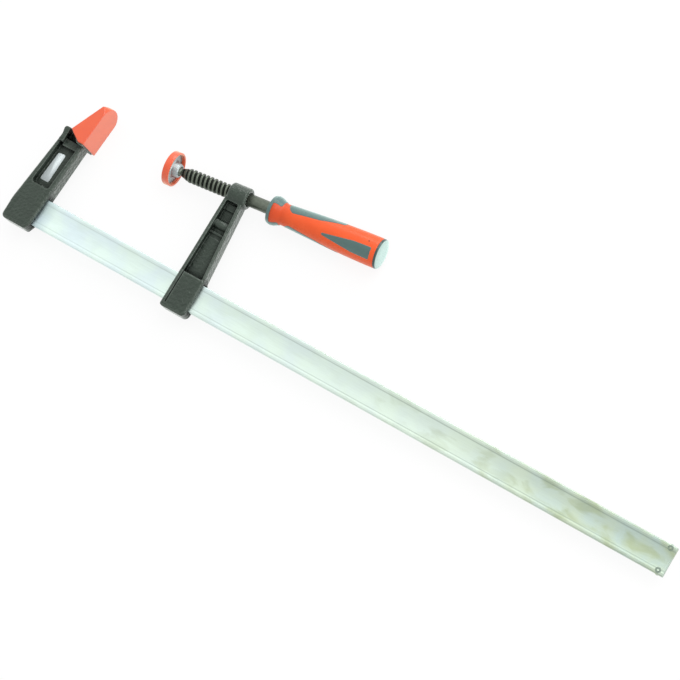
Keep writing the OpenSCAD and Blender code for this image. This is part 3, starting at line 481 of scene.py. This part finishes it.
def thread_tree(name):
    """Geometry Nodes: a rod whose skin rises and falls once a lead, tapered at its tip."""
    group = bpy.data.node_groups.new(name, "GeometryNodeTree")
    group.interface.new_socket("Geometry", in_out="OUTPUT", socket_type="NodeSocketGeometry")
    ends = {}
    for key in ("From", "Length", "Lead", "Crest", "Root", "Tip", "Taper", "Lean", "Place", "Coat"):
        kind = {"Place": "NodeSocketVector", "Coat": "NodeSocketMaterial"}.get(key, "NodeSocketFloat")
        ends[key] = group.interface.new_socket(key, in_out="INPUT", socket_type=kind).identifier
    size = add(group, "NodeGroupInput").outputs

    def maths(kind, a, b=None, c=None):
        """The outcome of one Math node fed with numbers or sockets."""
        made = add(group, "ShaderNodeMath", {"operation": kind})
        for index, value in enumerate((a, b, c)):
            if value is None:
                continue
            if isinstance(value, (int, float)):
                made.inputs[index].default_value = value
            else:
                group.links.new(value, made.inputs[index])
        return made.outputs[0]

    # a flat grid, whose X becomes the way along the rod and whose Y the angle round it
    sheet = add(group, "GeometryNodeMeshGrid", {"Size X": 1.0, "Size Y": math.tau,
                "Vertices X": 301, "Vertices Y": 97})
    at = add(group, "GeometryNodeInputPosition").outputs[0]
    spot = add(group, "ShaderNodeSeparateXYZ", (), {0: at}).outputs
    share = maths("ADD", spot["X"], 0.5)
    run = maths("MULTIPLY", share, size["Length"])
    angle = spot["Y"]
    phase = maths("FRACT", maths("ADD", maths("DIVIDE", run, size["Lead"]),
                                 maths("DIVIDE", angle, math.tau)))
    ridge = maths("ABSOLUTE", maths("SUBTRACT", maths("MULTIPLY", phase, 2.0), 1.0))
    height = add(group, "ShaderNodeMapRange", {"interpolation_type": "SMOOTHSTEP",
                 "From Min": 0.26, "From Max": 0.68}, {"Value": ridge}).outputs[0]
    wave = add(group, "ShaderNodeMapRange", (), {"Value": height, "To Min": size["Root"],
               "To Max": size["Crest"]}).outputs[0]
    cone = add(group, "ShaderNodeMapRange", {"clamp": False}, {"Value": run, "From Max": size["Taper"],
               "To Min": size["Tip"], "To Max": size["Crest"]}).outputs[0]
    smallest = maths("SMOOTH_MIN", wave, cone, 0.25)
    # its first and last rows shrink to a point, which closes the rod's ends
    inside = maths("MULTIPLY", maths("GREATER_THAN", share, 0.002), maths("LESS_THAN", share, 0.998))
    radius = maths("MULTIPLY", smallest, inside)
    point = add(group, "ShaderNodeCombineXYZ", (), {
        "X": maths("ADD", size["From"], run),
        "Y": maths("MULTIPLY", radius, maths("SINE", angle)),
        "Z": maths("MULTIPLY", radius, maths("COSINE", angle))})
    scaled = add(group, "ShaderNodeVectorMath", {"operation": "SCALE", "Scale": MM},
                 {0: point.outputs[0]})
    marked = add(group, "GeometryNodeStoreNamedAttribute", {"Name": "sunk"}, {
        "Geometry": sheet.outputs["Mesh"], "Value": maths("SUBTRACT", 1.0, height)})
    rolled = add(group, "GeometryNodeSetPosition", (), {"Geometry": marked.outputs[0],
                 "Position": scaled.outputs[0]})
    closed = add(group, "GeometryNodeMergeByDistance", {"Distance": 0.001 * MM},
                 {"Geometry": rolled.outputs[0]})
    lean = add(group, "ShaderNodeCombineXYZ", (), {"Z": size["Lean"]})
    stood = add(group, "GeometryNodeTransform", (), {"Geometry": closed.outputs[0],
                "Translation": size["Place"], "Rotation": lean.outputs[0]})
    real = add(group, "GeometryNodeRealizeInstances", (), {"Geometry": stood.outputs[0]})
    coated = add(group, "GeometryNodeSetMaterial", (), {"Geometry": real.outputs[0],
                 "Material": size["Coat"]})
    add(group, "NodeGroupOutput", (), {0: coated.outputs[0]})
    return group, ends


def from_nodes(group, ends, **sizes):
    """The plain mesh that a Geometry Nodes tree gives with these sizes."""
    maker = bpy.data.objects.new(group.name, bpy.data.meshes.new(group.name))
    bpy.context.scene.collection.objects.link(maker)
    modifier = maker.modifiers.new(group.name, "NODES")
    modifier.node_group = group
    for key, value in sizes.items():
        modifier[ends[key]] = value
    mesh = baked(maker)
    shell = bmesh.new()
    shell.from_mesh(mesh)
    bmesh.ops.recalc_face_normals(shell, faces=shell.faces)
    shell.to_mesh(mesh)
    shell.free()
    return mesh


thread, ends = thread_tree("rolled_thread")
screw_mesh = from_nodes(thread, ends, From=tip_s, Length=BOSS_HALF - THREAD_SHORT - tip_s,
                        Lead=LEAD, Crest=SCREW_R, Root=ROOT_R, Tip=TIP_R, Taper=TIP_LEN,
                        Lean=LEAN, Place=boss, Coat=steel)
solid("screw_thread", screw_mesh, steel, "screw", "screw_steel", "spindle")
# a ring halfway along keeps the shading of the hidden end away from the part in view
shank = turned([(SHANK_FROM, 0), (SHANK_FROM, SHANK_R - 1), (SHANK_FROM + 1, SHANK_R),
                (SHANK_MID, SHANK_R), (SHANK_TO, SHANK_R), (SHANK_TO, 0)])
solid("screw_shank", shank, steel, "screw", "screw_steel")

# ---------------------------------------------------------------------------------------------
# Ball and pad: the screw ends in a neck and ball, held by the crimped collar of a pressed
# zinc-plated plate; a red PVC cup is snapped over the plate's rim.
# ---------------------------------------------------------------------------------------------
BALL_R, NECK_R, NECK_SHOWN, NECK_PLAY = 4.5, 2.8, 2.0, 0.04
PAD_R, PAD_WALL, PLATE_T, RIM, CUP_LIP = 14.9, 1.6, 1.8, 6.2, 1.8
SOCKET_PLAY, SOCKET_FLOOR, LIP_REACH = 0.06, 0.9, 2.9
FOOT_R, COLLAR_R, CRIMP_R, LIP_R = 8.0, 7.0, 5.8, 5.0  # the collar, from the plate to its lip
MOUTH_R, THROAT_R = NECK_R + 1.35, NECK_R + 1.05
SNAP, CUP_GAP = 0.7, 0.02

# the neck stops just short of the screw's tip, which turns while the ball stands still
ball_s = tip_s - NECK_SHOWN - LIP_REACH
root_s = tip_s - NECK_PLAY
neck = [(ball_s - BALL_R * math.cos(a), BALL_R * math.sin(a))
        for a in np.linspace(0, math.pi - math.asin(NECK_R / BALL_R), 24)]
neck[0] = (ball_s - BALL_R, 0.0)
ball = turned(neck + [(root_s, NECK_R), (root_s, 0)], around=64)
solid("ball_and_neck", ball, steel, "feed", "screw_steel", "ball_end")

plate_s = ball_s - BALL_R - SOCKET_PLAY - SOCKET_FLOOR
back_s = plate_s + PLATE_T
face_s = plate_s - PAD_WALL
lip_s = ball_s + LIP_REACH
plate_r = PAD_R - PAD_WALL
plate = eased([(plate_s, 0), (plate_s, plate_r), (back_s, plate_r), (back_s, FOOT_R),
               (back_s + 1, COLLAR_R), (lip_s - 1, CRIMP_R), (lip_s, LIP_R), (lip_s, MOUTH_R),
               (ball_s + 0.4, THROAT_R), (ball_s, 0)], radius=0.35)
# dull zinc: faintly cloudy where the bath drained off the pressing
dull, tree, shader, place = finish("dull_zinc_plate", "#ACB5B6", 1.0, 0.46)
drained = add(tree, "ShaderNodeTexNoise", {"Scale": 1 / (4 * MM), "Detail": 3.0},
              {"Vector": place}).outputs["Fac"]
tree.links.new(two_tone(tree, drained, "#98A3A5", "#BFC7C7"), shader.inputs["Base Color"])
rough = add(tree, "ShaderNodeMapRange", {"To Min": 0.4, "To Max": 0.52}, {"Value": drained})
tree.links.new(rough.outputs[0], shader.inputs["Roughness"])
solid("pad_plate_pressing", turned(plate), dull, "pad", "zinc_steel", "pad_plate")
cup = eased([(face_s, 0), (face_s, PAD_R), (face_s + RIM, PAD_R), (face_s + RIM, PAD_R - CUP_LIP),
             (back_s + CUP_GAP, plate_r - SNAP), (back_s + CUP_GAP, plate_r + CUP_GAP),
             (plate_s - CUP_GAP, plate_r + CUP_GAP), (plate_s - CUP_GAP, 0)], radius=0.7)
solid("pad_cup", turned(cup), pvc, "pad", "red_plastic", "pad_cap")

# ---------------------------------------------------------------------------------------------
# Handle: a hard orange polypropylene core moulded on the shank, then overmoulded with a soft
# grey-teal elastomer: a lobed collar, tapered inlays that alternate round it, and a tail cap.
# ---------------------------------------------------------------------------------------------
HANDLE_LEN, SHANK_OUT = 103.5, 21.7
FRONT_R, WAIST_R, BIG_R, END_R = 12.4, 9.3, 12.9, 12.5
FRONT_K, WAIST_K, BIG_K = 0.03, 0.12, 0.94  # where those radii lie, as shares of the length
CORE_K = 0.032  # where the core's own skin begins
GATE_OUT, GATE_TURN, GATE_R = 92, math.radians(-18), 0.7
SHADE_OUT, SHADE_LEN = 4, 20
CAP_T, PROUD, FACE_DROP = 2.9, 0.25, 0.9
GRIP_GRAIN, GRIP_PASSES = 0.24 * MM, 3
handle_s = BOSS_HALF + SHANK_OUT
tail_s = handle_s + HANDLE_LEN


def grip_radius(k):
    """The hard core's radius at a share k of the handle's length."""
    if k < FRONT_K:
        return FRONT_R - 0.8 * (1 - k / FRONT_K)
    if k < WAIST_K:
        fall = math.cos(math.pi / 2 * (k - FRONT_K) / (WAIST_K - FRONT_K)) ** 1.6
        return WAIST_R + (FRONT_R - WAIST_R) * fall
    if k < BIG_K:
        swell = math.sin(math.pi / 2 * (k - WAIST_K) / (BIG_K - WAIST_K)) ** 1.15
        return WAIST_R + (BIG_R - WAIST_R) * swell
    return BIG_R + (END_R - BIG_R) * ((k - BIG_K) / (1 - BIG_K)) ** 2


# hard polypropylene: strong orange, half gloss, with a hint of flow lines and one gate mark
core, tree, shader, place = finish("orange_polypropylene", "#E0531F", 0.0, 0.34, IOR=1.42,
                                   Sheen_Weight=0.25, Sheen_Roughness=0.4,
                                   Sheen_Tint=linear("#FFD2A0"))
flow = add(tree, "ShaderNodeTexNoise", {"Scale": 1 / (8 * MM), "Detail": 3.0},
           {"Vector": place}).outputs["Fac"]
moulded_in = two_tone(tree, flow, "#DA4C1A", "#E55A26")
# painted shade next to the collar, which fades out along the handle
start = on_screw(handle_s + SHADE_OUT, 0, 0).dot(to_handle)
along = add(tree, "ShaderNodeVectorMath", {"operation": "DOT_PRODUCT", 1: to_handle},
            {0: place}).outputs["Value"]
painted_collar_shade = add(tree, "ShaderNodeMapRange", {"From Min": start, "From Max": start + SHADE_LEN * MM,
           "To Min": 0.8, "To Max": 0.0}, {"Value": along}).outputs[0]
core_with_painted_shade = add(tree, "ShaderNodeMix", {"data_type": "RGBA", 7: linear("#B83C14")},
              {0: painted_collar_shade, 6: moulded_in}).outputs[2]
gate = on_screw(handle_s + GATE_OUT, grip_radius(GATE_OUT / HANDLE_LEN), GATE_TURN)
from_gate = add(tree, "ShaderNodeVectorMath", {"operation": "DISTANCE", 1: gate},
                {0: place}).outputs["Value"]
mark = add(tree, "ShaderNodeMath", {"operation": "LESS_THAN", 1: GATE_R * MM}, {0: from_gate}).outputs[0]
orange = add(tree, "ShaderNodeMix", {"data_type": "RGBA", 7: linear("#7A2A12")},
             {0: mark, 6: core_with_painted_shade}).outputs[2]
tree.links.new(orange, shader.inputs["Base Color"])
fine = add(tree, "ShaderNodeTexNoise", {"Scale": 1 / (0.6 * MM), "Detail": 2.0},
           {"Vector": place}).outputs["Fac"]
bump = add(tree, "ShaderNodeBump", {"Strength": 0.12, "Distance": 0.04 * MM}, {"Height": fine})
tree.links.new(bump.outputs[0], shader.inputs["Normal"])

# thermoplastic elastomer: grey-teal, matt, with a soft sheen at the edges
grip, tree, shader, place = finish("soft_grey_teal_elastomer", "#3E5A57", 0.0, 0.5, IOR=1.4,
                                   Coat_Weight=0.6, Coat_Roughness=0.1, Sheen_Weight=1.0,
                                   Sheen_Roughness=0.5, Sheen_Tint=linear("#D2F2EC"))
pores = add(tree, "ShaderNodeTexNoise", {"Scale": 1 / (0.45 * MM), "Detail": 3.0},
            {"Vector": place}).outputs["Fac"]
mottle = add(tree, "ShaderNodeTexNoise", {"Scale": 1 / (6 * MM), "Detail": 2.0},
             {"Vector": place}).outputs["Fac"]
tree.links.new(two_tone(tree, mottle, "#34504E", "#41605C"), shader.inputs["Base Color"])
bump = add(tree, "ShaderNodeBump", {"Strength": 0.3, "Distance": 0.05 * MM}, {"Height": pores})
tree.links.new(bump.outputs[0], shader.inputs["Normal"])

cap_k = 1 - CAP_T / HANDLE_LEN
skin_line = [(handle_s + k * HANDLE_LEN, grip_radius(k)) for k in np.linspace(CORE_K, cap_k, 120)]
body = turned([(skin_line[0][0], SHANK_R)] + skin_line + [(skin_line[-1][0], 0)], around=128)
solid("handle_core_moulding", body, core, "screw", "orange_plastic", "handle_core")
for node in ("grip_inlay_front_1", "grip_inlay_front_2", "grip_inlay_rear_1", "grip_inlay_rear_2",
             "grip_collar"):
    solid(node + "_soft", moulded(node, GRIP_GRAIN, GRIP_PASSES), grip, "screw", "soft_grip", node)

# the same elastomer on the tail cap, whose flat end was moulded glossy and has a painted highlight
glossy, tree, shader, _ = finish("glossy_grey_teal_elastomer", "#2A4442", 0.0, 0.45, IOR=1.4,
                                 Coat_Weight=1.0, Coat_Roughness=0.1, Sheen_Roughness=0.5,
                                 Sheen_Tint=linear("#D2F2EC"))
outward = add(tree, "ShaderNodeNewGeometry").outputs["Normal"]
facing = add(tree, "ShaderNodeVectorMath", {"operation": "DOT_PRODUCT", 1: to_handle},
             {0: outward}).outputs["Value"]
# painted highlight: the flat end's colour is lightened to pale teal
end_face_highlight = add(tree, "ShaderNodeMapRange", {"interpolation_type": "SMOOTHSTEP", "From Min": 0.6,
           "From Max": 0.97}, {"Value": facing}).outputs[0]
tree.links.new(two_tone(tree, end_face_highlight, "#2A4442", "#80A399"), shader.inputs["Base Color"])
tree.links.new(end_face_highlight, shader.inputs["Sheen Weight"])
mirror = add(tree, "ShaderNodeMapRange", {"To Min": 1.4, "To Max": 2.6}, {"Value": end_face_highlight})
tree.links.new(mirror.outputs[0], shader.inputs["Coat IOR"])

# the end is all but flat, with a soft rim
face = [(tail_s - FACE_DROP * (r / END_R) ** 5, r) for r in np.linspace(END_R, 0, 24)]
border = [(tail_s - CAP_T, 0), (tail_s - CAP_T, grip_radius(cap_k) + PROUD)]
tail = eased(border + face[:2], radius=0.5) + face[2:]
solid("grip_end_cap_soft", turned(tail), glossy, "screw", "soft_grip", "grip_end_cap")

# ---------------------------------------------------------------------------------------------
# Floor, light and camera: a pale floor that keeps the shadow, a white tent of light that is
# a little brighter behind the jaw, three soft boxes, and a long lens from above the free end.
# ---------------------------------------------------------------------------------------------
FLOOR_HALF, FLOOR_GAP = 6.0, 0.2 * MM
BOXES = (("soft_box", (0.9, 0.9, 1.6), 1.6, 1.2, 12), ("side_box", (1.9, -0.1, 0.6), 1.4, 0.9, 8),
         ("back_box", (0.1, 1.6, 0.8), 1.6, 0.8, 9))  # place, width and height in m, and watts
AIM = Vector((0.25, 0, 0))
CAMERA_AT, CAMERA_TURN = (0.88150, -0.27484, 1.73468), (15.7116, 12.9476, 31.74)

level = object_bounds()[0][2] - FLOOR_GAP
floor_mesh = bpy.data.meshes.new("floor")
floor_mesh.from_pydata([(x * FLOOR_HALF, y * FLOOR_HALF, level)
                        for x, y in ((-1, -1), (1, -1), (1, 1), (-1, 1))], [], [(0, 1, 2, 3)])
floor = bpy.data.objects.new("floor", floor_mesh)
bpy.context.scene.collection.objects.link(floor)
# paper that shows almost white to the camera and in reflections, but lights nothing itself
paper, tree, shader, _ = finish("white_paper_floor", "#F4F4F4", 0.0, 0.9)
rays = add(tree, "ShaderNodeLightPath").outputs
mirrored = add(tree, "ShaderNodeMath", {"operation": "MAXIMUM"}, {0: rays["Is Glossy Ray"],
               1: rays["Is Transmission Ray"]}).outputs[0]
seen = add(tree, "ShaderNodeMath", {"operation": "MAXIMUM"},
           {0: rays["Is Camera Ray"], 1: mirrored}).outputs[0]
glow = add(tree, "ShaderNodeEmission", {"Color": (1, 1, 1, 1), "Strength": 1.0})
share = add(tree, "ShaderNodeMath", {"operation": "MULTIPLY", 1: 0.88}, {0: seen}).outputs[0]
mixed = add(tree, "ShaderNodeMixShader", (), {0: share, 1: shader.outputs[0], 2: glow.outputs[0]})
tree.links.new(mixed.outputs[0], tree.nodes["Material Output"].inputs["Surface"])
floor_mesh.materials.append(paper)

tent = bpy.data.worlds.new("tent")
bpy.context.scene.world = tent
tent.use_nodes = True
tree = tent.node_tree
way = add(tree, "ShaderNodeTexCoord").outputs["Generated"]
side = add(tree, "ShaderNodeVectorMath", {"operation": "DOT_PRODUCT", 1: (-0.55, 1.0, 0.0)},
           {0: way}).outputs["Value"]
brighter = add(tree, "ShaderNodeMapRange", {"From Min": 0.1, "From Max": 0.42, "To Min": 0.8,
               "To Max": 1.08}, {"Value": side}).outputs[0]
tree.links.new(brighter, tree.nodes["Background"].inputs["Strength"])
tree.nodes["Background"].inputs["Color"].default_value = (1, 1, 1, 1)

for title, stand, wide, tall, power in BOXES:
    light = bpy.data.lights.new(title, "AREA")
    light.shape, light.size, light.size_y, light.energy = "RECTANGLE", wide, tall, power
    lamp = bpy.data.objects.new(title, light)
    lamp.location = stand
    lamp.rotation_euler = (AIM - lamp.location).to_track_quat("-Z", "Y").to_euler()
    bpy.context.scene.collection.objects.link(lamp)

lens = bpy.data.cameras.new("camera")
lens.lens, lens.sensor_width = 121.76, 36.0
lens.clip_start, lens.clip_end = 0.1, 50
camera = bpy.data.objects.new("camera", lens)
camera.location = CAMERA_AT
camera.rotation_euler = [math.radians(turn) for turn in CAMERA_TURN]
bpy.context.scene.collection.objects.link(camera)
bpy.context.scene.camera = camera
bpy.context.scene.view_settings.view_transform = "Standard"
